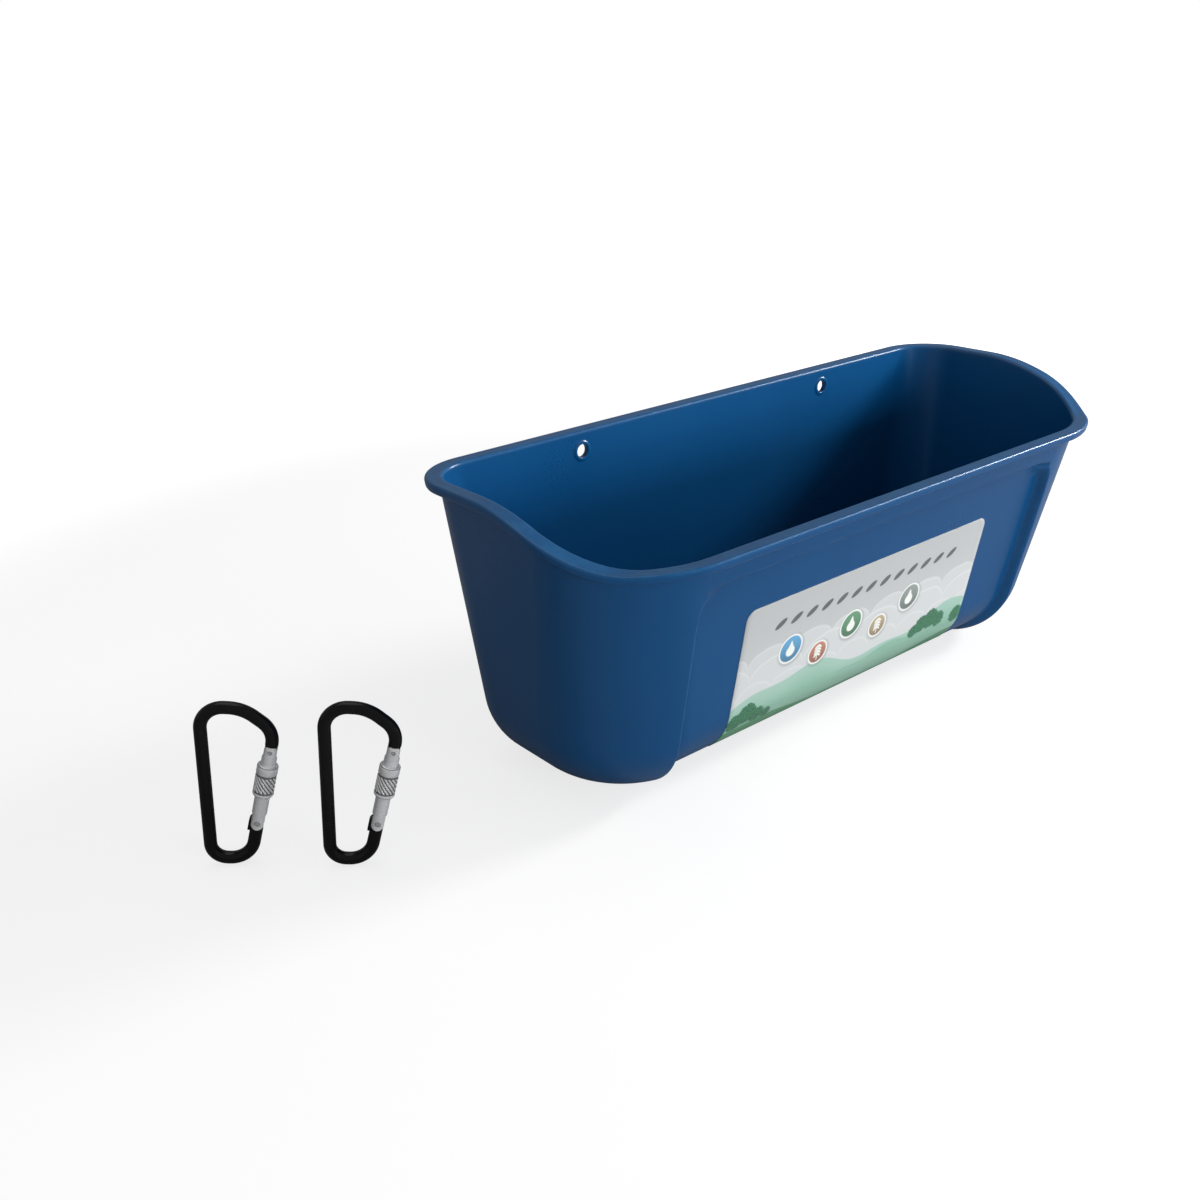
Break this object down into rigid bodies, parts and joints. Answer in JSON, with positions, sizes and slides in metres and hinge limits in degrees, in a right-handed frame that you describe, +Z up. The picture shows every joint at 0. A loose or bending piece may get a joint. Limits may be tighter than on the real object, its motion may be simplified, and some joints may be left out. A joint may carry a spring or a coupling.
{
  "type": "hanging feed trough",
  "caption": "Long blue plastic feed trough with a flanged, stepped rim and hanging holes, with separate D-shaped screw-lock carabiners to hang it by.",
  "frame": {"origin": "centre of the tub's base, on the surface it stands on", "axes": "+X along the tub's length, -Y out of the long front wall with the label, +Y out of the wall with the hanging holes, +Z up"},
  "size_m": [0.4631, 0.1358, 0.14],
  "materials": {
    "tub_plastic": "satin",
    "label_sheet": "printed, satin",
    "black_anodised": "gloss black anodised",
    "silver_metal": "polished",
    "pin_steel": "bright",
    "spring_steel": "drawn wire"
  },
  "bodies": {
    "tub": {"trough_tub": "tub_plastic", "front_label": "label_sheet"},
    "carabiner_1": {"carabiner_1_frame": "black_anodised", "carabiner_1_hinge_pin": "pin_steel"},
    "carabiner_1_gate": {"carabiner_1_gate": "silver_metal", "carabiner_1_nose_pin": "pin_steel", "carabiner_1_gate_spring": "spring_steel"},
    "carabiner_1_plunger": {"carabiner_1_plunger": "pin_steel"},
    "carabiner_1_sleeve": {"carabiner_1_screw_sleeve": "silver_metal"},
    "carabiner_2": {"carabiner_2_frame": "black_anodised", "carabiner_2_hinge_pin": "pin_steel"},
    "carabiner_2_gate": {"carabiner_2_gate": "silver_metal", "carabiner_2_nose_pin": "pin_steel", "carabiner_2_gate_spring": "spring_steel"},
    "carabiner_2_plunger": {"carabiner_2_plunger": "pin_steel"},
    "carabiner_2_sleeve": {"carabiner_2_screw_sleeve": "silver_metal"}
  },
  "joints": [
    {"name": "carabiner_1_lift", "type": "slide", "parent": "tub", "child": "carabiner_1", "axis": [0, 0, 1], "range_m": [0, 0.1]},
    {"name": "carabiner_1_gate_hinge", "type": "hinge", "parent": "carabiner_1", "child": "carabiner_1_gate", "pos_m": [-0.26816, 0.03496, 0.01918], "axis": [-0.5592, -0.829, 0], "range_deg": [0, 25], "stiffness_Nm_per_rad": 0.05, "springref_deg": -22.92},
    {"name": "carabiner_1_plunger_slide", "type": "slide", "parent": "carabiner_1_gate", "child": "carabiner_1_plunger", "axis": [0.2313, -0.156, 0.9603], "range_m": [0, 0.0005]},
    {"name": "carabiner_1_sleeve_slide", "type": "slide", "parent": "carabiner_1_gate", "child": "carabiner_1_sleeve", "axis": [0.2313, -0.156, 0.9603], "range_m": [0, 0.0099]},
    {"name": "carabiner_2_lift", "type": "slide", "parent": "tub", "child": "carabiner_2", "axis": [0, 0, 1], "range_m": [0, 0.1]},
    {"name": "carabiner_2_gate_hinge", "type": "hinge", "parent": "carabiner_2", "child": "carabiner_2_gate", "pos_m": [-0.23236, 0.00136, 0.01918], "axis": [-0.5592, -0.829, 0], "range_deg": [0, 25], "stiffness_Nm_per_rad": 0.05, "springref_deg": -22.92},
    {"name": "carabiner_2_plunger_slide", "type": "slide", "parent": "carabiner_2_gate", "child": "carabiner_2_plunger", "axis": [0.2313, -0.156, 0.9603], "range_m": [0, 0.0005]},
    {"name": "carabiner_2_sleeve_slide", "type": "slide", "parent": "carabiner_2_gate", "child": "carabiner_2_sleeve", "axis": [0.2313, -0.156, 0.9603], "range_m": [0, 0.0099]}
  ],
  "couplings": [
    {"joint": "carabiner_1_plunger_slide", "follows": "carabiner_1_gate_hinge", "m_per_rad": 0.00112},
    {"joint": "carabiner_2_plunger_slide", "follows": "carabiner_2_gate_hinge", "m_per_rad": 0.00112}
  ]
}
